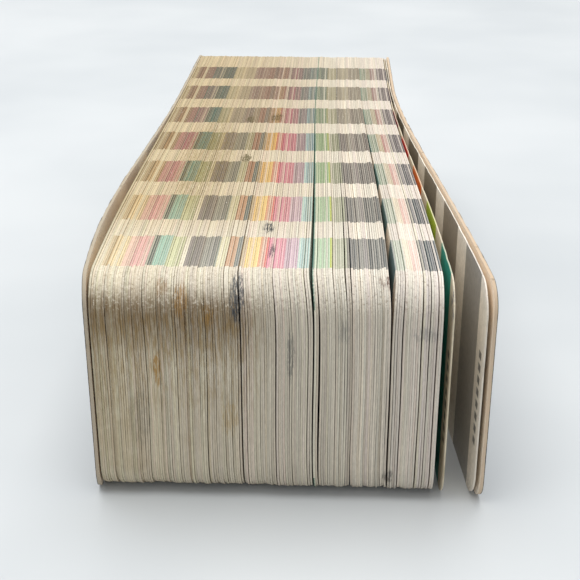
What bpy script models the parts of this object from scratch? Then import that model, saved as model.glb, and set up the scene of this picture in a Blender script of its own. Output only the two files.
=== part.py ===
"""A thick fan deck of colour cards on one binding post, standing on its long edges.

Units are metres and +Z is up. X runs along the post, through the thickness of the deck. The
free ends of the cards point along -Y. The origin is on the surface that the deck stands on,
under the middle of its bounding box.

Every card, page and cover turns about the post without limit. A layer is flat around the post
and bends outwards further from it, by an amount that depends only on the distance from the
post, so that layers nest in each other however far each one is turned.
"""

import math

import bmesh
import bpy

# Outline of a card, seen from the side of the deck
CARD_LENGTH = 0.211
CARD_HEIGHT = 0.0508
CARD_CORNER = 0.0075
CORNER_STEPS = 3
POST_TO_FAR_END = 0.016
COVER_MARGIN = 0.0002  # a cover reaches this far past the cards, except at the bottom

# Layers through the thickness of the deck, where the post holds them together
DECK_WIDTH = 0.0692
COVER_THICKNESS = 0.0008
SINGLE_THICKNESS = 0.0003
LAYER_GAP = 0.0003
BUNDLE_COUNT = 50
DECK_MIDDLE_X = -0.0056  # puts the origin under the middle of the splayed deck

# How far the layers bend by the free end. +X is towards the back cover.
FLAT_RADIUS = 0.037
RING_RADII = (0.064, 0.104, 0.144, 0.174, 0.196)
PACK_SPREAD = 0.0057  # of the last card in the pack. The first card has none
PACK_BOW = -0.0010  # of the first card in the pack. The last card has none
FRONT_COVER_BOW = -0.0030
LOOSE_CARD_SPLAY = 0.0016
END_PAGE_SPLAY = 0.0077
BACK_COVER_SPLAY = 0.0084
SPLAY_POWER = 1.3

# Binding post: a barrel, an extension and a screw, end to end
POST_RADIUS = 0.0031
HOLE_RADIUS = 0.0035
HEAD_RADIUS = 0.00635
HEAD_THICKNESS = 0.0014
HEAD_EDGE = 0.0004
STUD_RADIUS = 0.0015
STUD_LENGTH = 0.010
SOCKET_RADIUS = 0.0018
SOCKET_DEPTH = 0.0105
BARREL_SHARE = 0.37  # of the post's length
EXTENSION_SHARE = 0.50
SLOT_WIDTH = 0.0012
SLOT_DEPTH = 0.0007
POST_CLEARANCE = 0.0003

LAYER_STEPS = 12  # 30 degrees each, with one facet facing the free end
POST_STEPS = 24
MERGE_DISTANCE = 0.00001
FLAT_ANGLE = 0.002  # faces that meet at less than this are one face

POST_Y = CARD_LENGTH / 2 - POST_TO_FAR_END
POST_Z = CARD_HEIGHT / 2
FREE_END_RADIUS = CARD_LENGTH - POST_TO_FAR_END
BEND_LENGTH = FREE_END_RADIUS - FLAT_RADIUS

CREAM = (0.71, 0.64, 0.50)
TAN = (0.55, 0.38, 0.22)
TEAL = (0.02, 0.17, 0.13)
SLATE = (0.10, 0.09, 0.07)
STEEL = (0.55, 0.54, 0.52)


def clear_scene():
    for item in list(bpy.data.objects):
        bpy.data.objects.remove(item, do_unlink=True)


def new_collection(name):
    collection = bpy.data.collections.new(name)
    bpy.context.scene.collection.children.link(collection)
    return collection


def make_material(name, colour, roughness, metallic=0.0):
    material = bpy.data.materials.new(name)
    material.use_nodes = True
    shader = material.node_tree.nodes["Principled BSDF"]
    shader.inputs["Base Color"].default_value = (*colour, 1.0)
    shader.inputs["Roughness"].default_value = roughness
    shader.inputs["Metallic"].default_value = metallic
    return material


def add_box_cutter(name, size, location, cutters, corner=0.0):
    """A box to cut with. Its four edges along X are rounded to the corner radius."""
    shape = bmesh.new()
    bmesh.ops.create_cube(shape, size=1.0)
    along_x = [e for e in shape.edges if e.verts[0].co.yz == e.verts[1].co.yz]
    bmesh.ops.scale(shape, vec=size, verts=shape.verts)
    if corner:
        bmesh.ops.bevel(
            shape,
            geom=along_x,
            offset=corner,
            segments=CORNER_STEPS,
            profile=0.5,
            affect="EDGES",
        )
    mesh = bpy.data.meshes.new(name)
    shape.to_mesh(mesh)
    shape.free()
    cutter = bpy.data.objects.new(name, mesh)
    cutter.location = location
    cutter.hide_render = True
    cutter.display_type = "WIRE"
    cutters.objects.link(cutter)
    return cutter


def add_outline_cutter(name, margin, cutters):
    """A prism through the deck with a card's outline, grown by margin except at the bottom."""
    size = (2 * DECK_WIDTH, CARD_LENGTH + 2 * margin, CARD_HEIGHT + margin)
    location = (DECK_MIDDLE_X, 0.0, size[2] / 2)
    return add_box_cutter(name, size, location, cutters, CARD_CORNER + margin)


def add_turned(name, profile, closed, steps, x, material, collection):
    """Turns (radius, height) points about the post. Heights count along +X from x.

    The profile runs outwards from the top, down the outer side and back in at the bottom.
    """
    edges = [(i, i + 1) for i in range(len(profile) - 1)]
    if closed:
        edges.append((len(profile) - 1, 0))
    mesh = bpy.data.meshes.new(name)
    mesh.from_pydata([(radius, 0.0, height) for radius, height in profile], edges, [])
    mesh.materials.append(material)
    piece = bpy.data.objects.new(name, mesh)
    piece.location = (x, POST_Y, POST_Z)
    piece.rotation_mode = "ZYX"
    piece.rotation_euler = (0.0, math.pi / 2, math.pi / steps)
    collection.objects.link(piece)
    screw = piece.modifiers.new("turn", "SCREW")
    screw.axis = "Z"
    screw.steps = steps
    screw.render_steps = steps
    screw.use_merge_vertices = True
    screw.merge_threshold = MERGE_DISTANCE
    screw.use_smooth_shade = False
    return piece


def cut(piece, operation, cutter):
    modifier = piece.modifiers.new(operation.lower(), "BOOLEAN")
    modifier.operation = operation
    modifier.solver = "EXACT"
    modifier.object = cutter


def bend(distance, spread, splay, bow):
    """How far a layer has moved along X at a distance from the post.

    The spread starts and ends softly, the splay grows to the end, and the bow bulges on the
    way to the free end.
    """
    share = min(max(distance - FLAT_RADIUS, 0.0) / BEND_LENGTH, 1.0)
    soft = share**2 * (3 - 2 * share)
    return spread * soft + splay * share**SPLAY_POWER + bow * math.sin(math.pi * share**2)


def add_layer(name, x, thickness, shape, outline, material, collection):
    """A card, page, cover or bundle: a turned sheet trimmed to a card's outline.

    shape holds the layer's spread, splay and bow. The rings count to the middle of a facet.
    """
    to_corner = 1 / math.cos(math.pi / LAYER_STEPS)
    rings = [(HOLE_RADIUS, 0.0)]
    rings += [(to_corner * radius, bend(radius, *shape)) for radius in (FLAT_RADIUS, *RING_RADII)]
    top = [(radius, height + thickness / 2) for radius, height in rings]
    bottom = [(radius, height - thickness / 2) for radius, height in reversed(rings)]
    layer = add_turned(name, top + bottom, True, LAYER_STEPS, x, material, collection)
    cut(layer, "INTERSECT", outline)
    flatten = layer.modifiers.new("merge_flat_faces", "DECIMATE")
    flatten.decimate_type = "DISSOLVE"
    flatten.angle_limit = FLAT_ANGLE


def add_layers(cutters, collection):
    """The covers, the bundles of cards, the loose card and the end page, from -X to +X."""
    card_outline = add_outline_cutter("card_outline", 0.0, cutters)
    cover_outline = add_outline_cutter("cover_outline", COVER_MARGIN, cutters)
    board = make_material("chipboard", TAN, 0.85)
    paper = make_material("card_stock", CREAM, 0.75)
    teal = make_material("teal_card", TEAL, 0.5)
    slate = make_material("slate_page", SLATE, 0.5)

    covers_and_singles = 2 * (COVER_THICKNESS + LAYER_GAP) + 2 * (SINGLE_THICKNESS + LAYER_GAP)
    pitch = (DECK_WIDTH - covers_and_singles + LAYER_GAP) / BUNDLE_COUNT
    front = (0.0, 0.0, FRONT_COVER_BOW)
    layers = [("front_cover", COVER_THICKNESS, front, cover_outline, board)]
    for i in range(BUNDLE_COUNT):
        share = (i + 0.5) / BUNDLE_COUNT
        shape = (PACK_SPREAD * share, 0.0, PACK_BOW * (1 - share))
        layers.append((f"card_bundle_{i + 1:02d}", pitch - LAYER_GAP, shape, card_outline, paper))
    loose = (PACK_SPREAD, LOOSE_CARD_SPLAY, 0.0)
    page = (PACK_SPREAD, END_PAGE_SPLAY, 0.0)
    back = (PACK_SPREAD, BACK_COVER_SPLAY, 0.0)
    layers.append(("loose_card", SINGLE_THICKNESS, loose, card_outline, teal))
    layers.append(("end_page", SINGLE_THICKNESS, page, card_outline, slate))
    layers.append(("back_cover", COVER_THICKNESS, back, cover_outline, board))

    face = DECK_MIDDLE_X - DECK_WIDTH / 2
    for name, thickness, shape, outline, material in layers:
        add_layer(name, face + thickness / 2, thickness, shape, outline, material, collection)
        face += thickness + LAYER_GAP


def head(face, side):
    """A post head's profile from its rim to the post's axis, on the outer side of face."""
    top = face + side * HEAD_THICKNESS
    return [
        (HEAD_RADIUS, face),
        (HEAD_RADIUS, top - side * HEAD_EDGE),
        (HEAD_RADIUS - HEAD_EDGE, top),
        (0.0, top),
    ]


def socket(end):
    """A post socket's profile, from its blind end out to the post's face at end."""
    return [
        (0.0, end - SOCKET_DEPTH),
        (SOCKET_RADIUS, end - SOCKET_DEPTH),
        (SOCKET_RADIUS, end),
        (POST_RADIUS, end),
    ]


def stud(start):
    """A post stud's profile, from the post's face at start in to the stud's tip."""
    return [
        (POST_RADIUS, start),
        (STUD_RADIUS, start),
        (STUD_RADIUS, start - STUD_LENGTH),
        (0.0, start - STUD_LENGTH),
    ]


def add_binding_post(cutters, collection):
    """A headed barrel, an extension and a slotted screw. Each stud is in the next socket."""
    steel = make_material("nickel_plated_steel", STEEL, 0.35, 0.9)
    back_face = DECK_WIDTH / 2 + POST_CLEARANCE
    front_face = -back_face
    barrel_end = front_face + BARREL_SHARE * 2 * back_face
    extension_end = barrel_end + EXTENSION_SHARE * 2 * back_face

    barrel = socket(barrel_end) + [(POST_RADIUS, front_face)] + head(front_face, -1)
    extension = socket(extension_end) + stud(barrel_end + POST_CLEARANCE)
    screw = head(back_face, 1)[::-1] + [(POST_RADIUS, back_face)]
    screw += stud(extension_end + POST_CLEARANCE)

    place = (False, POST_STEPS, DECK_MIDDLE_X, steel, collection)
    add_turned("barrel_post", barrel, *place)
    add_turned("extension_post", extension, *place)
    post_screw = add_turned("post_screw", screw, *place)

    size = (2 * SLOT_DEPTH, SLOT_WIDTH, 3 * HEAD_RADIUS)
    location = (DECK_MIDDLE_X + back_face + HEAD_THICKNESS, POST_Y, POST_Z)
    cut(post_screw, "DIFFERENCE", add_box_cutter("screw_slot", size, location, cutters))


def main():
    clear_scene()
    deck = new_collection("fan_deck")
    cutters = new_collection("cutters")
    add_layers(cutters, deck)
    add_binding_post(cutters, deck)


main()
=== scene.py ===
"""The looks of a thick fan deck of colour cards, standing on its long edges on a pale floor.

Every card is its own thin sheet, bent and slightly out of line as in a worn deck. Three
cards ride on each CAD bundle. Lengths are in metres, apart from those named _MM in materials.
"""

import math

import bpy
import numpy as np
from mathutils import Matrix, Vector


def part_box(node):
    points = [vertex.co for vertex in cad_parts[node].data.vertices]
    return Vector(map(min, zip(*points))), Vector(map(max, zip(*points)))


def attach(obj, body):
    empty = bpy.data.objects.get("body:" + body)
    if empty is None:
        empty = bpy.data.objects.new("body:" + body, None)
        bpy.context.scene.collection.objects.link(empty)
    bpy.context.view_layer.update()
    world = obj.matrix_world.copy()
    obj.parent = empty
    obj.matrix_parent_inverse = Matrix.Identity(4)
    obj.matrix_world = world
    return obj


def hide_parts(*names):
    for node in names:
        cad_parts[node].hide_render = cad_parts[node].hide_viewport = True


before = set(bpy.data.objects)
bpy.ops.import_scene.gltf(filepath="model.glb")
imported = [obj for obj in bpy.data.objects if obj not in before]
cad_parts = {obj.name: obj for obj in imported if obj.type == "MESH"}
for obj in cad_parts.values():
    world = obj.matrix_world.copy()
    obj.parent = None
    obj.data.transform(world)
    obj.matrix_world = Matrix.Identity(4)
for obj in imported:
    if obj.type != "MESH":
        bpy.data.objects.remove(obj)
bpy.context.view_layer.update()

rng = np.random.default_rng(1963)

# ---------------------------------------------------------------- the frame's own sizes

BUNDLES = sorted(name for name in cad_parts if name.startswith("card_bundle_"))
CARDS_PER_BUNDLE = 3
CARD_COUNT = CARDS_PER_BUNDLE * len(BUNDLES)

card_low, card_high = (Vector(corner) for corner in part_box(BUNDLES[0]))
FREE_END = card_low.y
FAR_END = card_high.y
CARD_HEIGHT = card_high.z - card_low.z

head_low, head_high = (Vector(corner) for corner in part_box("barrel_post"))
POST_Y = (head_low.y + head_high.y) / 2
POST_Z = (head_low.z + head_high.z) / 2
REACH = POST_Y - FREE_END

CARD_THICKNESS = 0.00041
CARD_CORNER = 0.0075
COVER_CORNER = 0.0062
HOLE_RADIUS = 0.0035
HOLE_CELL = 0.00404  # half the width of the square around the hole in a sheet's grid

FINE_CORNER_STEPS = 8
FINE_SPACING = 0.0011
SINGLE_FRAY = 0.00025
BOARD_FRAY = 0.00015
FACING_FRAY = 0.0004

FLAT_RADIUS = 0.037
SPLAY_POWER = 1.3

BAND_COUNT = 7
BAND_PITCH = 0.027
BAND_LENGTH = 0.01686
FIRST_BAND = FREE_END + 0.0081


def node_points(name):
    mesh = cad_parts[name].data
    points = np.empty(3 * len(mesh.vertices))
    mesh.vertices.foreach_get("co", points)
    return points.reshape(-1, 3)


def x_range(name, low_y, high_y):
    """The lowest and highest x of a CAD node between two places along Y."""
    points = node_points(name)
    inside = (points[:, 1] >= low_y) & (points[:, 1] <= high_y)
    return points[inside, 0].min(), points[inside, 0].max()


def at_post(name):
    return x_range(name, POST_Y - HOLE_RADIUS, POST_Y + HOLE_RADIUS)


def at_free_end(name):
    return x_range(name, FREE_END - 0.002, FREE_END + 0.0005)


# ---------------------------------------------------------------- how the layers lie


def along(distance):
    """0 out to the edge of the flat middle, and 1 at the free end."""
    return np.clip((distance - FLAT_RADIUS) / (REACH - FLAT_RADIUS), 0.0, 1.0)


def soft(distance):
    share = along(distance)
    return share**2 * (3 - 2 * share)


def bow(distance):
    return np.sin(np.pi * along(distance) ** 2)


def height_share(z):
    """-1 at the bottom of a card, 1 at its top."""
    return (z - POST_Z) / (CARD_HEIGHT / 2)


WIDE_GAPS = (
    # after which card, and how wide at the free end's top, middle and bottom, in mm
    (23, 0.10, 0.05, 0.05),
    (37, 0.08, 0.10, 0.15),
    (50, 0.05, 0.10, 0.12),
    (59, 0.15, 0.05, 0.05),
    (65, 0.30, 0.30, 0.30),
    (67, 0.05, 0.10, 0.15),
    (80, 0.08, 0.20, 0.15),
    (87, 0.10, 0.10, 0.15),
    (94, 0.20, 0.15, 0.15),
    (96, 0.75, 0.25, 0.45),
    (98, 0.15, 0.30, 0.10),
    (105, 0.20, 0.10, 0.05),
    (110, 0.35, 0.05, 0.10),
    (112, 0.25, 0.10, 0.35),
    (129, 1.60, 0.35, 0.15),
    (133, 0.10, 0.20, 0.20),
    (141, 0.10, 0.20, 0.10),
    (144, 0.20, 0.15, 0.10),
    (147, 0.15, 0.20, 0.15),
)
WIDE_GAP_POWER = 1.8  # how fast a wide gap grows towards the free end
RIM_POWER = 6  # how near the top and the bottom a wide gap changes its width
WIDE_GAP_SHARE = 0.6  # the most of the room between the cards that wide gaps may take

gap_looseness = rng.lognormal(0.0, 0.5, CARD_COUNT - 1).clip(0.3, 1.7)
gap_phase = rng.uniform(0.0, 2 * math.pi, CARD_COUNT - 1)
gap_waves = rng.uniform(0.5, 2.0, CARD_COUNT - 1)


def card_places(distance, z):
    """The x of each card's left face at points given by their distance from the post and z.

    The cards fill the width of the pack at every point. What room they leave is shared out
    as a few wide gaps and many slight ones, which change from the top to the bottom.
    """
    left_post, _ = at_post(BUNDLES[0])
    _, right_post = at_post(BUNDLES[-1])
    left_end, _ = at_free_end(BUNDLES[0])
    _, right_end = at_free_end(BUNDLES[-1])
    share = height_share(z)
    spread = soft(distance)
    left_bow = card_low.x - left_post
    left = left_post + (left_end - left_post) * spread + left_bow * bow(distance)
    right = right_post + (right_end - right_post) * spread
    room = right - left - CARD_COUNT * CARD_THICKNESS

    wide = np.zeros((CARD_COUNT - 1, len(z)))
    for index, top, middle, bottom in WIDE_GAPS:
        outer = np.where(share > 0, top, bottom)
        width = middle + (outer - middle) * share**RIM_POWER
        wide[index] = width / 1000 * along(distance) ** WIDE_GAP_POWER
    shortage = np.minimum(WIDE_GAP_SHARE * room / np.maximum(wide.sum(axis=0), 1e-9), 1.0)
    wide *= shortage

    waves = np.sin(gap_phase[:, None] + gap_waves[:, None] * 2 * share[None, :])
    loose = gap_looseness[:, None] * (1 + 0.7 * waves)
    slight = 1 + (loose - 1) * np.clip(2 * along(distance), 0.0, 1.0)[None, :]
    slight *= (room - wide.sum(axis=0)) / slight.sum(axis=0)

    steps = np.vstack([np.zeros(len(z)), wide + slight]) + CARD_THICKNESS
    return left + np.cumsum(steps, axis=0) - CARD_THICKNESS


# ---------------------------------------------------------------- colours


def colour(code):
    """The linear colour of a six-digit sRGB code."""
    values = np.array([int(code[i : i + 2], 16) for i in (0, 2, 4)]) / 255
    return np.where(values <= 0.04045, values / 12.92, ((values + 0.055) / 1.055) ** 2.4)


FAMILIES = (
    # cards, the pale tint near the free end, the full tone in the middle, the shade beyond,
    # and how much of the ink shows on the cards' edges
    (4, "e6d8b8", "9c8a64", "a89878", 0.55),
    (3, "ccb080", "8a6c3c", "84645a", 0.55),
    (6, "ecd4a4", "946c38", "7c5c56", 0.6),
    (4, "ecc4b0", "a8646a", "785a58", 0.6),
    (7, "e8aca8", "a04c64", "4c5c60", 0.6),
    (3, "48605a", "2c4848", "344848", 0.65),
    (6, "9cc8b4", "347878", "44585c", 0.6),
    (6, "ccd0a0", "747c50", "bcb094", 0.6),
    (2, "e8e0c8", "a79c70", "c4b89c", 0.5),
    (8, "7a7470", "6c605c", "b4a890", 0.7),
    (6, "767874", "6a6a5c", "8c706c", 0.7),
    (1, "607870", "5c6850", "8c706c", 0.7),
    (4, "e4deba", "97926a", "886864", 0.55),
    (4, "cc9c78", "8f5838", "88645c", 0.65),
    (2, "40606a", "3c504c", "6c5450", 0.7),
    (2, "d8c098", "a08858", "80605a", 0.6),
    (6, "fcdc90", "dcaa50", "84645e", 0.7),
    (2, "f0ac84", "cc6c54", "80605a", 0.7),
    (2, "dc6864", "c84c54", "745c58", 0.7),
    (8, "dc8ca0", "bc5470", "745a5c", 0.62),
    (6, "d4b4c4", "947884", "5c6260", 0.6),
    (5, "a4ccc8", "64909c", "4c5e5c", 0.65),
    (1, "0c5c54", "145c58", "28504c", 0.7),
    (7, "b0d0ac", "70985c", "4e6054", 0.6),
    (1, "c4d040", "a0b034", "8c8460", 0.8),
    (6, "b0b498", "747a58", "9c9474", 0.6),
    (1, "38403c", "343c38", "645c48", 0.6),
    (8, "5c6264", "584e4c", "a0967c", 0.65),
    (9, "4c5456", "504440", "8a806c", 0.65),
    (1, "5a6e70", "4c7068", "5c7868", 0.5),
    (4, "bccab4", "4c7c54", "5c724e", 0.5),
    (3, "ecdcc0", "a48c5c", "807858", 0.5),
    (4, "f0ccc0", "b4746c", "7c5c58", 0.5),
    (8, "24404c", "3c3440", "605456", 0.6),
)
TEAL_DIVIDER = 97  # a card with one plain colour all over its left side
TEAL = "146858"
BAND_DEPTH = (0.0, 0.3, 0.75, 1.1, 1.55, 1.85, 2.0)  # from tint, 0, over tone, 1, to shade, 2

PAPER_LEFT = colour("e6dac0")
PAPER_RIGHT = colour("f0e7da")
TEAL_INKS = ("32a08c", "b4c83c", "ee8434", "dc3c30", "a83c54", "6c4a78", "3c5c86")
SLATE_INKS = ("a8a49e", "a09688", "948a7a", "8a8070", "807868", "787060", "706858")


def family_inks():
    """Each card's seven inks, as an array of cards by bands by colour."""
    inks = []
    for count, *codes, _ in FAMILIES:
        tint, tone, shade = (colour(code) for code in codes)
        for _ in range(count):
            drift = rng.normal(0.0, 0.13)
            bands = []
            for depth in BAND_DEPTH:
                depth = min(max(depth + drift, 0.0), 2.0)
                if depth < 1:
                    bands.append(tint + (tone - tint) * depth)
                else:
                    bands.append(tone + (shade - tone) * (depth - 1))
            inks.append(bands)
    inks = np.array(inks[:CARD_COUNT])
    inks *= rng.normal(1.0, 0.08, (CARD_COUNT, 1, 1)).clip(0.7, 1.3)
    return inks.clip(0.0, 1.0)


def paper_tones():
    """Each card's paper colour: warmer and browner at the left, and no two quite the same."""
    share = np.linspace(0.0, 1.0, CARD_COUNT)[:, None]
    tones = PAPER_LEFT * (1 - share) + PAPER_RIGHT * share
    tones = tones * rng.normal(0.95, 0.06, (CARD_COUNT, 1)).clip(0.6, 1.15)
    return tones * rng.normal(1.0, 0.015, (CARD_COUNT, 3))


def edge_bleed():
    """How much of a card's ink shows on its long edges, by card and band."""
    typical = np.concatenate([np.full(count, share) for count, *_, share in FAMILIES])
    spread = rng.normal(1.0, 0.18, (CARD_COUNT, 1)) * rng.normal(1.0, 0.06, (CARD_COUNT, BAND_COUNT))
    bleed = typical[:CARD_COUNT, None] * spread * np.linspace(1.0, 1.3, BAND_COUNT)
    bare = rng.random(CARD_COUNT) < 0.08
    bleed[bare] *= 0.4
    return bleed.clip(0.0, 0.95)


# ---------------------------------------------------------------- sheets


class Outline:
    """The grid that a sheet is made on, seen from the side: stations along Y, rows along Z.

    The rows close up towards the rounded corners. A round hole for the post is left in the
    cell around it. Fray is how far the rim is worn in, here and there.
    """

    HOLE_STEPS = 16

    def __init__(self, low, high, corner, corner_steps=6, spacing=0.0, fray=0.0):
        self.low_z, self.high_z = low.z, high.z
        arc = [corner * (1 - math.cos(math.pi / 2 * i / corner_steps)) for i in range(corner_steps)]
        arc.append(corner)
        stations = {round(low.y + a, 7) for a in arc} | {round(high.y - a, 7) for a in arc}
        for band in range(BAND_COUNT):
            start = FIRST_BAND + band * BAND_PITCH
            stations |= {start, start + BAND_LENGTH / 2, start + BAND_LENGTH}
        stations = {y for y in stations if abs(y - POST_Y) > HOLE_CELL + 0.0002}
        stations |= {POST_Y - HOLE_CELL, POST_Y + HOLE_CELL}
        self.y = np.array(sorted(stations))
        if spacing:
            self.y = self.filled(self.y, spacing)
        inset = np.clip(corner - np.minimum(self.y - low.y, high.y - self.y), 0.0, corner)
        cut = corner - np.sqrt(np.clip(corner**2 - inset**2, 0.0, None))
        shares = self.row_shares(high.z - low.z, spacing)
        bottom, top = low.z + cut, high.z - cut
        self.z = bottom[:, None] + (top - bottom)[:, None] * shares[None, :]
        self.fray = fray
        self.build()

    @staticmethod
    def filled(values, spacing):
        """The values, with more between them where they are over the spacing apart."""
        runs = []
        for start, end in zip(values, values[1:]):
            if start < POST_Y < end:
                runs.append([start])
                continue
            steps = max(int(round((end - start) / spacing)), 1)
            runs.append(np.linspace(start, end, steps, endpoint=False))
        return np.append(np.concatenate(runs), values[-1])

    def row_shares(self, height, spacing):
        cell = [(POST_Z - self.low_z + side * HOLE_CELL) / height for side in (-1, 1)]
        if not spacing:
            self.hole_row = 3
            return np.array([0.0, 0.06, 0.2, *cell, 0.76, 0.87, 0.94, 1.0])
        steps = int(round(cell[0] * height / spacing))
        self.hole_row = steps
        below = np.linspace(0.0, cell[0], steps + 1)
        return np.concatenate([below, np.linspace(cell[1], 1.0, steps + 1)])

    def build(self):
        """Points (y, z) of one side, and the faces of the closed sheet with their kinds."""
        across, rows = len(self.y), self.z.shape[1]
        grid = [(self.y[a], self.z[a, b]) for a in range(across) for b in range(rows)]
        if self.fray:
            grid = self.worn(grid, across, rows)
        turns = [2 * math.pi * i / self.HOLE_STEPS for i in range(self.HOLE_STEPS)]
        ring = [
            (POST_Y + HOLE_RADIUS * math.cos(t), POST_Z + HOLE_RADIUS * math.sin(t)) for t in turns
        ]
        self.points = np.array(grid + ring)
        side = len(self.points)
        first_ring = across * rows
        hole_station = int(np.argmin(abs(self.y - (POST_Y - HOLE_CELL))))
        hole_row = self.hole_row

        def at(a, b):
            return a * rows + b

        left = []  # faces of the side towards -X, and the station that each starts at
        for a in range(across - 1):
            for b in range(rows - 1):
                if (a, b) != (hole_station, hole_row):
                    left.append(((at(a, b), at(a, b + 1), at(a + 1, b + 1), at(a + 1, b)), a))
        a, b = hole_station, hole_row
        corners = (at(a + 1, b + 1), at(a, b + 1), at(a, b), at(a + 1, b))
        eighth = self.HOLE_STEPS // 8
        for i in range(4):
            start = eighth + 2 * eighth * i
            arc = [first_ring + (start + n) % self.HOLE_STEPS for n in range(2 * eighth, -1, -1)]
            left.append(((*arc, corners[i], corners[(i + 1) % 4]), a))
        # bands, on_edge, at_free_end and on_right are for each corner of each face in turn
        self.faces, self.stations, self.is_edge = [], [], []
        for face, a in left:
            self.add(face, a, False)
            self.add(tuple(side + i for i in reversed(face)), a, False)
        for a in range(across - 1):
            for b, flip in ((0, False), (rows - 1, True)):
                self.add_edge(at(a, b), at(a + 1, b), side, a, flip)
        for b in range(rows - 1):
            self.add_edge(at(0, b), at(0, b + 1), side, 0, True)
            self.add_edge(at(across - 1, b), at(across - 1, b + 1), side, across - 2, False)
        for i in range(self.HOLE_STEPS):
            j = (i + 1) % self.HOLE_STEPS
            self.add_edge(first_ring + i, first_ring + j, side, hole_station, True)
        bands = [self.band_at((self.y[a] + self.y[a + 1]) / 2) for a in self.stations]
        sizes = [len(face) for face in self.faces]
        self.bands = np.repeat(bands, sizes)
        self.on_edge = np.repeat(self.is_edge, sizes)
        self.at_free_end = np.repeat(np.array(self.stations) == 0, sizes) & self.on_edge
        self.on_right = np.concatenate([np.array(face) for face in self.faces]) >= side

    def worn(self, grid, across, rows):
        """The grid with its rim moved inwards by uneven amounts."""
        grid = np.array(grid).reshape(across, rows, 2)
        grid[0, :, 0] += self.fray * self.wear(rows)
        grid[-1, :, 0] -= self.fray * self.wear(rows)
        grid[:, -1, 1] -= self.fray * self.wear(across)
        return [tuple(point) for point in grid.reshape(-1, 2)]

    @staticmethod
    def wear(count):
        rough = rng.lognormal(-1.0, 1.0, count + 4).clip(0.0, 3.0)
        return np.convolve(rough, (0.1, 0.2, 0.4, 0.2, 0.1), "valid")

    def add(self, face, station, is_edge):
        self.faces.append(face)
        self.stations.append(station)
        self.is_edge.append(is_edge)

    def add_edge(self, i, j, side, station, flip):
        face = (i, j, j + side, i + side)
        self.add(face[::-1] if flip else face, station, True)

    @staticmethod
    def band_at(y):
        """Which printed band a place along Y is in, or -1 between the bands."""
        band, rest = divmod(y - FIRST_BAND, BAND_PITCH)
        return int(band) if 0 <= band < BAND_COUNT and rest < BAND_LENGTH else -1


def sheet_points(outline, left_x, thickness, slide=(0.0, 0.0), lift=0.0):
    """The sheet's points: slid by (y, z) and turned about the post by the lift angle."""
    y = outline.points[:, 0] - POST_Y
    z = outline.points[:, 1] - POST_Z
    turned_y = POST_Y + y * math.cos(lift) + z * math.sin(lift) + slide[0]
    turned_z = POST_Z + z * math.cos(lift) - y * math.sin(lift) + slide[1]
    left = np.column_stack([left_x, turned_y, turned_z])
    right = np.column_stack([left_x + thickness, turned_y, turned_z])
    return np.vstack([left, right])


SHARP_ANGLE = math.radians(40)


def make_piece(name, points, faces, prints, on_edge, material, body, nodes):
    """A finished piece from arrays, with its print colours and edge marks as attributes."""
    mesh = bpy.data.meshes.new(name)
    mesh.from_pydata([tuple(p) for p in points], [], [tuple(f) for f in faces])
    mesh.update()
    ink = mesh.color_attributes.new("print", "FLOAT_COLOR", "CORNER")
    colours = np.column_stack([prints, np.ones(len(prints))])
    ink.data.foreach_set("color", colours.astype(np.float32).ravel())
    edge = mesh.attributes.new("edge", "FLOAT", "CORNER")
    edge.data.foreach_set("value", on_edge.astype(np.float32))
    mesh.materials.append(material)
    mesh.shade_smooth()
    mesh.set_sharp_from_angle(angle=SHARP_ANGLE)
    piece = bpy.data.objects.new(name, mesh)
    bpy.context.scene.collection.objects.link(piece)
    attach(piece, body)
    if nodes:
        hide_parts(*nodes)
    return piece


# ---------------------------------------------------------------- node helpers


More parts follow.
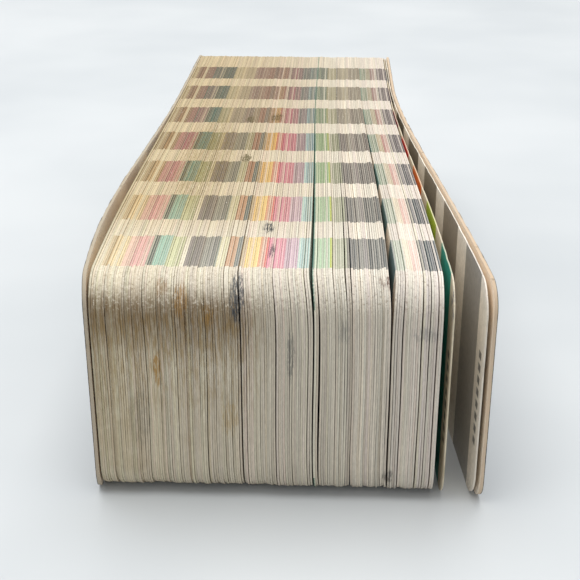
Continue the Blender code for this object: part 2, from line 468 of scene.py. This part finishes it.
class Shader:
    """A material's node tree, with short calls for the nodes used here."""

    def __init__(self, name):
        self.material = bpy.data.materials.new(name)
        self.material.use_nodes = True
        self.nodes = self.material.node_tree.nodes
        self.surface = self.nodes["Principled BSDF"]

    def new(self, kind, inputs=(), **settings):
        node = self.nodes.new(kind)
        for key, value in settings.items():
            setattr(node, key, value)
        for key, value in dict(inputs).items():
            self.put(node.inputs[key], value)
        return node

    def put(self, socket, value):
        if isinstance(value, bpy.types.NodeSocket):
            self.material.node_tree.links.new(value, socket)
        elif socket.type == "RGBA":
            socket.default_value = (*value, 1.0)
        else:
            socket.default_value = value

    def attribute(self, name, output):
        return self.new("ShaderNodeAttribute", attribute_name=name).outputs[output]

    def place_mm(self):
        """The place on the object in millimetres."""
        coordinates = self.new("ShaderNodeTexCoord").outputs["Object"]
        return self.scaled(coordinates, (1000, 1000, 1000))

    def scaled(self, vector, factors):
        inputs = {0: vector, 1: factors}
        return self.new("ShaderNodeVectorMath", inputs, operation="MULTIPLY").outputs[0]

    def split(self, vector):
        return self.new("ShaderNodeSeparateXYZ", {0: vector}).outputs

    def noise(self, vector, scale, detail=2.0, rough=0.5):
        inputs = {"Vector": vector, "Scale": scale, "Detail": detail, "Roughness": rough}
        return self.new("ShaderNodeTexNoise", inputs).outputs["Fac"]

    def ranged(self, value, low, high, to_low=0.0, to_high=1.0):
        inputs = {0: value, 1: low, 2: high, 3: to_low, 4: to_high}
        node = self.new("ShaderNodeMapRange", inputs, interpolation_type="SMOOTHSTEP")
        return node.outputs[0]

    def math(self, operation, a, b=0.0):
        return self.new("ShaderNodeMath", {0: a, 1: b}, operation=operation).outputs[0]

    def product(self, first, *others):
        for other in others:
            first = self.math("MULTIPLY", first, other)
        return first

    def mix(self, share, a, b, blend="MIX"):
        node = self.new("ShaderNodeMix", data_type="RGBA", blend_type=blend, clamp_factor=True)
        self.put(node.inputs[0], share)
        self.put(node.inputs[6], a)
        self.put(node.inputs[7], b)
        return node.outputs[2]

    def spot(self, place, centre_mm, radii_mm):
        """1 at the centre of an ellipsoid, falling to 0 at its surface."""
        offset = self.new("ShaderNodeVectorMath", {0: place, 1: centre_mm}, operation="SUBTRACT")
        unit = self.scaled(offset.outputs[0], tuple(1 / r for r in radii_mm))
        length = self.new("ShaderNodeVectorMath", {0: unit}, operation="LENGTH").outputs["Value"]
        return self.ranged(length, 1.0, 0.0)

    def bump(self, height, strength, distance):
        inputs = {"Strength": strength, "Distance": distance, "Height": height}
        return self.new("ShaderNodeBump", inputs).outputs["Normal"]


# ---------------------------------------------------------------- materials

SMUDGES = (
    # centre in mm from the free end's middle at the floor, radii in mm, strength, colour
    ((-9.1, 2.5, 47.2), (2.5, 8.0, 8.6), 0.78, "2c3a46"),
    ((33.4, 2.5, 46.0), (1.8, 6.0, 8.0), 0.75, "3a4a66"),
    ((1.8, 0.5, 35.0), (1.6, 3.0, 10.0), 0.50, "54585a"),
    ((12.5, 0.5, 41.0), (2.2, 3.0, 5.0), 0.35, "666868"),
    ((29.0, 0.5, 40.5), (5.0, 3.0, 3.0), 0.40, "6e706e"),
    ((22.6, 0.5, 6.5), (2.0, 3.0, 3.0), 0.75, "4c4844"),
    ((21.0, 5.0, 49.5), (3.0, 4.0, 2.5), 0.80, "5c3428"),
    ((-25.8, 0.5, 31.5), (1.3, 3.0, 7.0), 0.70, "a07428"),
    ((-20.5, 1.5, 46.5), (2.6, 5.0, 6.0), 0.60, "9a7030"),
    ((-14.8, 1.5, 43.5), (2.4, 4.0, 4.5), 0.60, "98702c"),
    ((-24.5, 3.0, 48.5), (2.2, 4.0, 3.5), 0.50, "8a6430"),
    ((-11.0, 0.5, 20.0), (3.0, 3.0, 7.0), 0.40, "a88848"),
    ((-30.0, 0.5, 20.0), (4.0, 3.0, 12.0), 0.30, "7c7868"),
    ((-4.4, 31.0, 51.0), (2.2, 5.0, 3.0), 0.85, "242e38"),
    ((-3.0, 17.0, 51.0), (1.0, 7.0, 3.0), 0.70, "2e3440"),
    ((-13.4, 82.0, 51.0), (2.4, 6.0, 3.0), 0.75, "4c4214"),
    ((-7.3, 122.0, 51.0), (3.0, 8.0, 3.0), 0.70, "453c18"),
    ((-14.9, 120.0, 51.0), (2.2, 6.0, 3.0), 0.60, "4c4214"),
    ((-24.0, 82.0, 51.0), (12.0, 60.0, 5.0), 0.32, "7c6420"),
)


CAPTION_INSET_MM = 2.6
CAPTION_WIDTH_MM = 2.3
CAPTION_Z_MM = (13.0, 36.0)
DASH_PITCH_MM = 2.9


def captioned(shader, base, from_end, z):
    """The base colour with a plain row of dashes where a caption would be."""
    start, end = CAPTION_INSET_MM, CAPTION_INSET_MM + CAPTION_WIDTH_MM
    across = shader.product(
        shader.ranged(from_end, start - 0.1, start + 0.1),
        shader.ranged(from_end, end + 0.1, end - 0.1),
    )
    low, high = CAPTION_Z_MM
    between = shader.product(shader.ranged(z, low - 0.1, low), shader.ranged(z, high, high - 0.1))
    phase = shader.math("FRACT", shader.math("DIVIDE", shader.math("SUBTRACT", z, low), DASH_PITCH_MM))
    dash = shader.product(shader.ranged(phase, 0.0, 0.06), shader.ranged(phase, 0.66, 0.60))
    ink = shader.product(across, between, dash, 0.8)
    return shader.mix(ink, base, colour("262826"))


def card_material(name, has_caption=False):
    shader = Shader(name)
    place = shader.place_mm()
    x, y, z = shader.split(place)
    from_end = shader.math("SUBTRACT", y, 1000 * FREE_END)
    printed = shader.attribute("print", "Color")
    edge = shader.attribute("edge", "Fac")

    lines = shader.noise(shader.scaled(place, (3.6, 0.05, 0.05)), 1.0, 3.0, 0.6)
    fibres = shader.noise(shader.scaled(place, (4.0, 0.8, 0.8)), 1.0, 3.0, 0.7)
    blotches = shader.noise(place, 0.11, 3.0, 0.6)

    lined = shader.mix(0.5, printed, shader.ranged(lines, 0.30, 0.70, 0.68, 1.06), "MULTIPLY")
    base = shader.mix(edge, printed, lined)
    flecks = shader.ranged(fibres, 0.35, 0.68, 0.80, 1.10)
    base = shader.mix(0.5, base, shader.mix(1.0, base, flecks, "MULTIPLY"))

    at_end = shader.ranged(from_end, 12.5, 3.5)
    mottle = shader.noise(shader.scaled(place, (1.6, 0.18, 0.18)), 1.0, 3.0, 0.7)
    brown = shader.product(
        at_end,
        shader.ranged(z, 31.0, 43.0),
        shader.ranged(z, 50.5, 45.0),
        shader.ranged(x, 1.0, -12.0),
        shader.ranged(mottle, 0.28, 0.62, 0.45, 1.0),
    )
    base = shader.mix(shader.product(brown, 0.85), base, colour("705634"))
    streaks = shader.product(
        at_end,
        shader.ranged(z, 8.0, 36.0),
        shader.ranged(z, 48.0, 40.0),
        shader.ranged(x, 0.0, -10.0),
        shader.ranged(mottle, 0.44, 0.62, 0.0, 0.55),
    )
    base = shader.mix(streaks, base, colour("a48a5c"))
    left_grime = shader.product(at_end, shader.ranged(x, 2.0, -30.0), shader.ranged(z, 52.0, 30.0))
    stain = shader.ranged(blotches, 0.42, 0.66)
    base = shader.mix(shader.product(left_grime, stain, 0.28), base, colour("a08a60"))
    on_top = shader.product(shader.ranged(from_end, 10.0, 50.0), shader.ranged(z, 42.0, 50.0))
    aged = shader.product(shader.ranged(x, 20.0, -22.0, 0.25, 1.0), on_top, 0.55)
    base = shader.mix(aged, base, colour("d0bc90"), "MULTIPLY")
    # The top turns a little darker and greyer towards the far end, from 50 mm to 150 mm behind the free end.
    far_darkening = shader.product(on_top, shader.ranged(from_end, 50.0, 150.0), 0.35)
    base = shader.mix(far_darkening, base, colour("e2ddd4"), "MULTIPLY")

    # Painted shade: near the free end and below the rounded top corner, the cards are multiplied a little
    # darker, so the front reads less lit than the top.
    front = shader.product(at_end, shader.ranged(z, 50.0, 44.0))
    base = shader.mix(front, base, colour("f0eeea"), "MULTIPLY")
    speckle = shader.noise(place, 1.6, 2.0, 0.7)
    worn = shader.product(edge, at_end, shader.ranged(z, 43.5, 46.5))
    pale = shader.product(worn, shader.ranged(speckle, 0.52, 0.66), 0.45)
    base = shader.mix(pale, base, colour("f0e6d2"))
    dark = shader.product(worn, shader.ranged(speckle, 0.42, 0.32), 0.45)
    base = shader.mix(dark, base, colour("7a6448"))
    chips = shader.product(edge, on_top, shader.ranged(speckle, 0.69, 0.72), 0.6)
    base = shader.mix(chips, base, colour("f4ede0"))

    foot = shader.product(at_end, shader.ranged(z, 5.0, 0.0), shader.ranged(speckle, 0.40, 0.62))
    base = shader.mix(shader.product(foot, 0.55), base, colour("7c7364"))
    breakup = shader.noise(shader.scaled(place, (3.4, 0.5, 0.5)), 1.0, 4.0, 0.75)
    ragged = shader.ranged(breakup, 0.36, 0.64, 0.15, 1.7)
    for (x_mm, from_end_mm, z_mm), radii, strength, code in SMUDGES:
        centre = (x_mm, 1000 * FREE_END + from_end_mm, z_mm)
        rough = shader.product(shader.spot(place, centre, radii), ragged)
        mask = shader.product(shader.ranged(rough, 0.18, 0.75), strength)
        base = shader.mix(mask, base, colour(code))

    if has_caption:
        base = captioned(shader, base, from_end, z)
    shader.put(shader.surface.inputs["Base Color"], base)
    shader.put(shader.surface.inputs["Roughness"], shader.ranged(edge, 0.0, 1.0, 0.50, 0.92))
    shader.surface.inputs["Specular IOR Level"].default_value = 0.3
    shader.put(shader.surface.inputs["Normal"], shader.bump(fibres, 0.35, 0.00008))
    return shader.material


def chipboard_material():
    """Bare grey-tan chipboard, with flecks and a grubby, fuzzy cut edge."""
    shader = Shader("bare_chipboard")
    place = shader.place_mm()
    edge = shader.attribute("edge", "Fac")
    clouds = shader.noise(place, 0.05, 4.0, 0.6)
    fibres = shader.noise(shader.scaled(place, (1.0, 0.35, 1.0)), 1.7, 4.0, 0.75)
    flecks = shader.noise(place, 2.6, 2.0, 0.6)
    base = shader.mix(shader.ranged(clouds, 0.3, 0.7), colour("fde8cf"), colour("fff2df"))
    base = shader.mix(shader.ranged(fibres, 0.35, 0.75, 0.0, 0.2), base, colour("d4b690"))
    base = shader.mix(shader.ranged(flecks, 0.66, 0.76, 0.0, 0.4), base, colour("7c6040"))
    x, _, _ = shader.split(place)
    edge_tone = shader.mix(shader.ranged(x, -10.0, 10.0), colour("968c78"), colour("bca488"))
    base = shader.mix(shader.product(edge, 0.8), base, edge_tone)
    patches = shader.noise(place, 0.22, 3.0, 0.65)
    grime = shader.product(edge, shader.ranged(patches, 0.40, 0.30), 0.5)
    base = shader.mix(grime, base, colour("5c5446"))
    shader.put(shader.surface.inputs["Base Color"], base)
    shader.surface.inputs["Roughness"].default_value = 0.9
    shader.surface.inputs["Specular IOR Level"].default_value = 0.2
    shader.put(shader.surface.inputs["Normal"], shader.bump(fibres, 0.4, 0.0001))
    return shader.material


def facing_material():
    """Dark slate bookcloth paper on the covers' outer faces, scuffed pale along its rim."""
    shader = Shader("slate_facing")
    place = shader.place_mm()
    _, y, z = shader.split(place)
    edge = shader.attribute("edge", "Fac")
    threads_up = shader.noise(shader.scaled(place, (1.0, 5.0, 0.25)), 1.0, 2.0)
    threads_along = shader.noise(shader.scaled(place, (1.0, 0.25, 5.0)), 1.0, 2.0)
    weave = shader.math("ADD", threads_up, threads_along)
    clouds = shader.noise(place, 0.04, 4.0, 0.65)
    scuffs = shader.noise(shader.scaled(place, (1.0, 0.5, 1.4)), 0.35, 6.0, 0.75)
    base = shader.mix(shader.ranged(clouds, 0.3, 0.7), colour("28323a"), colour("37434c"))
    base = shader.mix(shader.ranged(weave, 0.75, 1.25, 0.0, 0.4), base, colour("56636c"))
    base = shader.mix(shader.ranged(scuffs, 0.60, 0.72, 0.0, 0.55), base, colour("7f8688"))
    to_ends = shader.math("SUBTRACT", 1000 * FAR_END + 0.8, shader.math("ABSOLUTE", y))
    rim_z = shader.math("MINIMUM", z, shader.math("SUBTRACT", 1000 * CARD_HEIGHT + 0.8, z))
    rim = shader.math("MINIMUM", to_ends, rim_z)
    frayed = shader.math("ADD", rim, shader.ranged(scuffs, 0.3, 0.7, 1.6, -2.2))
    worn = shader.ranged(frayed, 0.9, 0.0)
    base = shader.mix(shader.product(worn, shader.ranged(edge, 0.0, 1.0, 0.85, 0.4)), base, colour("b39a78"))
    base = shader.mix(shader.product(edge, 0.35), base, colour("8f836e"))
    shader.put(shader.surface.inputs["Base Color"], base)
    shader.put(shader.surface.inputs["Roughness"], shader.ranged(scuffs, 0.3, 0.7, 0.48, 0.72))
    shader.put(shader.surface.inputs["Normal"], shader.bump(weave, 0.35, 0.0001))
    return shader.material


def steel_material():
    """Nickel-plated steel, dulled and finely scratched."""
    shader = Shader("nickel_plate")
    place = shader.place_mm()
    clouds = shader.noise(place, 0.6, 3.0, 0.6)
    scratches = shader.noise(shader.scaled(place, (1.0, 9.0, 0.6)), 1.0, 4.0, 0.7)
    base = shader.mix(shader.ranged(clouds, 0.35, 0.7), colour("c2bfb8"), colour("a19a8c"))
    base = shader.mix(shader.ranged(scratches, 0.6, 0.75, 0.0, 0.4), base, colour("7d766a"))
    shader.put(shader.surface.inputs["Base Color"], base)
    shader.surface.inputs["Metallic"].default_value = 0.95
    shader.put(shader.surface.inputs["Roughness"], shader.ranged(clouds, 0.3, 0.7, 0.24, 0.42))
    shader.put(shader.surface.inputs["Normal"], shader.bump(scratches, 0.15, 0.00005))
    return shader.material


# ---------------------------------------------------------------- the pack of cards


def clump_jitter(size, clump_scale, card_scale):
    """Offsets that cards in a clump share, plus a little of each card's own."""
    offsets = np.zeros(size)
    start = 0
    while start < size:
        length = int(rng.integers(2, 14))
        offsets[start : start + length] = rng.normal(0.0, clump_scale)
        start += length
    return offsets + rng.normal(0.0, card_scale, size)


def add_pack(material):
    outline = Outline(card_low, card_high, CARD_CORNER)
    places = card_places(POST_Y - outline.points[:, 0], outline.points[:, 1])
    inks = family_inks()
    papers = paper_tones()
    bleed = edge_bleed()
    slide_y = clump_jitter(CARD_COUNT, 0.00012, 0.00009).clip(-0.0003, 0.0004)
    slide_z = 0.00012 + abs(clump_jitter(CARD_COUNT, 0.00008, 0.00006)).clip(0.0, 0.0003)
    lift = abs(clump_jitter(CARD_COUNT, 0.0010, 0.0005)).clip(0.0, 0.0035)
    for number, node in enumerate(BUNDLES):
        points, faces, prints = [], [], []
        for card in range(number * CARDS_PER_BUNDLE, (number + 1) * CARDS_PER_BUNDLE):
            first = sum(len(p) for p in points)
            slide = (slide_y[card], slide_z[card])
            points.append(sheet_points(outline, places[card], CARD_THICKNESS, slide, lift[card]))
            faces += [tuple(first + i for i in face) for face in outline.faces]
            prints.append(card_print(outline, papers[card], inks[card], bleed[card]))
            if card == TEAL_DIVIDER:
                prints[-1][~outline.on_right & ~outline.at_free_end] = colour(TEAL)
        make_piece(
            f"cards_{number + 1:02d}", np.vstack(points), faces, np.vstack(prints),
            np.tile(outline.on_edge, CARDS_PER_BUNDLE), material, node, [node],
        )


# On a card's long edges, how much ink and how much light there is at the printed left side and
# at the right side
LEFT_INK, RIGHT_INK = 1.5, 0.68
LEFT_LIGHT, RIGHT_LIGHT = 0.85, 1.01


def card_print(outline, paper, inks, bleed):
    """The colour at each corner of each face: paper, inked on the left side and the edges."""
    left_edge = outline.on_edge & ~outline.on_right
    right_edge = outline.on_edge & outline.on_right
    plain_side = outline.on_right & ~outline.on_edge
    share = np.where((outline.bands >= 0) & ~plain_side, 1.0, 0.0)
    share[left_edge] *= LEFT_INK * bleed[outline.bands[left_edge]]
    share[right_edge] *= RIGHT_INK * bleed[outline.bands[right_edge]]
    prints = paper + (np.array(inks)[outline.bands] - paper) * share.clip(0.0, 1.0)[:, None]
    prints[left_edge] *= LEFT_LIGHT
    prints[right_edge] *= RIGHT_LIGHT
    return prints


# ---------------------------------------------------------------- single leaves and covers


def bent_x(name, outline):
    """The x of a single layer's left face, from its CAD places at the post and the free end.

    It depends only on the distance from the post, so that layers nest however far they turn.
    """
    distance = POST_Y - outline.points[:, 0]
    post, _ = at_post(name)
    end, _ = at_free_end(name)
    if post < 0:
        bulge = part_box(name)[0][0] - post
        return post + (end - post) * soft(distance) + bulge * bow(distance)
    pack_spread = at_free_end(BUNDLES[-1])[0] - at_post(BUNDLES[-1])[0]
    splay = end - post - pack_spread
    return post + pack_spread * soft(distance) + splay * along(distance) ** SPLAY_POWER


SINGLE_BLEED = 0.3  # how much ink shows on a single leaf's edges


def add_single(name, paper, inks, material):
    thickness = at_post(name)[1] - at_post(name)[0]
    outline = Outline(card_low, card_high, CARD_CORNER, FINE_CORNER_STEPS, FINE_SPACING, SINGLE_FRAY)
    bleed = np.full(BAND_COUNT, SINGLE_BLEED)
    prints = card_print(outline, paper, [colour(code) for code in inks], bleed)
    make_piece(
        name + "_sheet", sheet_points(outline, bent_x(name, outline), thickness),
        outline.faces, prints, outline.on_edge, material, name, [name],
    )


FACING_THICKNESS = 0.00015


def add_cover(name, board, facing):
    """A chipboard cover with a thin dark facing on its outer side, both worn at the rim."""
    low, high = (Vector(corner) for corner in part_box(name))
    board_outline = Outline(low, high, COVER_CORNER, FINE_CORNER_STEPS, FINE_SPACING, BOARD_FRAY)
    facing_outline = Outline(low, high, COVER_CORNER, FINE_CORNER_STEPS, FINE_SPACING, FACING_FRAY)
    left_post, right_post = at_post(name)
    board_thickness = right_post - left_post - FACING_THICKNESS
    on_left = left_post < 0
    layers = (
        ("_board", board_outline, on_left * FACING_THICKNESS, board_thickness, board, [name]),
        ("_facing", facing_outline, (not on_left) * board_thickness, FACING_THICKNESS, facing, []),
    )
    for suffix, outline, offset, thickness, material, nodes in layers:
        points = sheet_points(outline, bent_x(name, outline) + offset, thickness)
        plain = np.ones((len(outline.bands), 3))
        make_piece(
            name + suffix, points, outline.faces, plain, outline.on_edge, material, name,
            nodes,
        )


# ---------------------------------------------------------------- the stage


def add_stage():
    bpy.ops.mesh.primitive_plane_add(size=6.0)
    floor = bpy.context.object
    floor.name = "floor"
    shader = Shader("pale_floor")
    clouds = shader.noise(shader.place_mm(), 0.006, 3.0, 0.55)
    base = shader.mix(shader.ranged(clouds, 0.3, 0.7), colour("c4c8ca"), colour("d0d3d4"))
    shader.put(shader.surface.inputs["Base Color"], base)
    shader.surface.inputs["Roughness"].default_value = 0.6
    shader.surface.inputs["Specular IOR Level"].default_value = 0.2
    floor.data.materials.append(shader.material)

    lamps = (
        # name, place, size, power, colour
        ("window", (-0.15, 0.00, 1.25), 1.2, 14.5, (1.0, 0.99, 0.97)),
        ("ceiling", (0.10, 0.90, 1.20), 1.4, 5.0, (1.0, 0.99, 0.98)),
    )
    for name, place, size, power, tint in lamps:
        lamp = bpy.data.lights.new(name, "AREA")
        lamp.size = size
        lamp.energy = power
        lamp.color = tint
        holder = bpy.data.objects.new(name, lamp)
        holder.location = place
        aim = Vector((0, 0, 0.03)) - holder.location
        holder.rotation_euler = aim.to_track_quat("-Z", "Y").to_euler()
        bpy.context.scene.collection.objects.link(holder)
    world = bpy.data.worlds.new("studio")
    world.use_nodes = True
    world.node_tree.nodes["Background"].inputs["Color"].default_value = (0.93, 0.96, 1.0, 1.0)
    world.node_tree.nodes["Background"].inputs["Strength"].default_value = 0.64
    bpy.context.scene.world = world


def add_camera():
    """Just in front of the free end, above it and slightly to its right, as the photo's."""
    camera = bpy.data.cameras.new("camera")
    camera.sensor_width = 36.0
    camera.lens = 69.95
    holder = bpy.data.objects.new("camera", camera)
    pitch, yaw, roll = math.radians(24.2), math.radians(2.38), math.radians(0.06)
    turn = Matrix.Rotation(yaw, 4, "Z") @ Matrix.Rotation(math.pi / 2 - pitch, 4, "X")
    turn = turn @ Matrix.Rotation(roll, 4, "Z")
    holder.matrix_world = Matrix.Translation((0.0101, -0.3093, 0.1416)) @ turn
    bpy.context.scene.collection.objects.link(holder)
    bpy.context.scene.camera = holder


def main():
    add_camera()
    card_stock = card_material("printed_card")
    captioned_stock = card_material("captioned_card", True)
    board = chipboard_material()
    facing = facing_material()
    add_pack(card_stock)
    add_single("loose_card", colour("e6dac2"), TEAL_INKS, captioned_stock)
    add_single("end_page", colour("fbf3e6"), SLATE_INKS, captioned_stock)
    add_cover("front_cover", board, facing)
    add_cover("back_cover", board, facing)
    steel = steel_material()
    for name in ("barrel_post", "extension_post", "post_screw"):
        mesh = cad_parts[name].data
        mesh.materials.clear()
        mesh.materials.append(steel)
        mesh.shade_smooth()
        mesh.set_sharp_from_angle(angle=SHARP_ANGLE)
    add_stage()
    bpy.context.scene.view_settings.view_transform = "Standard"


main()
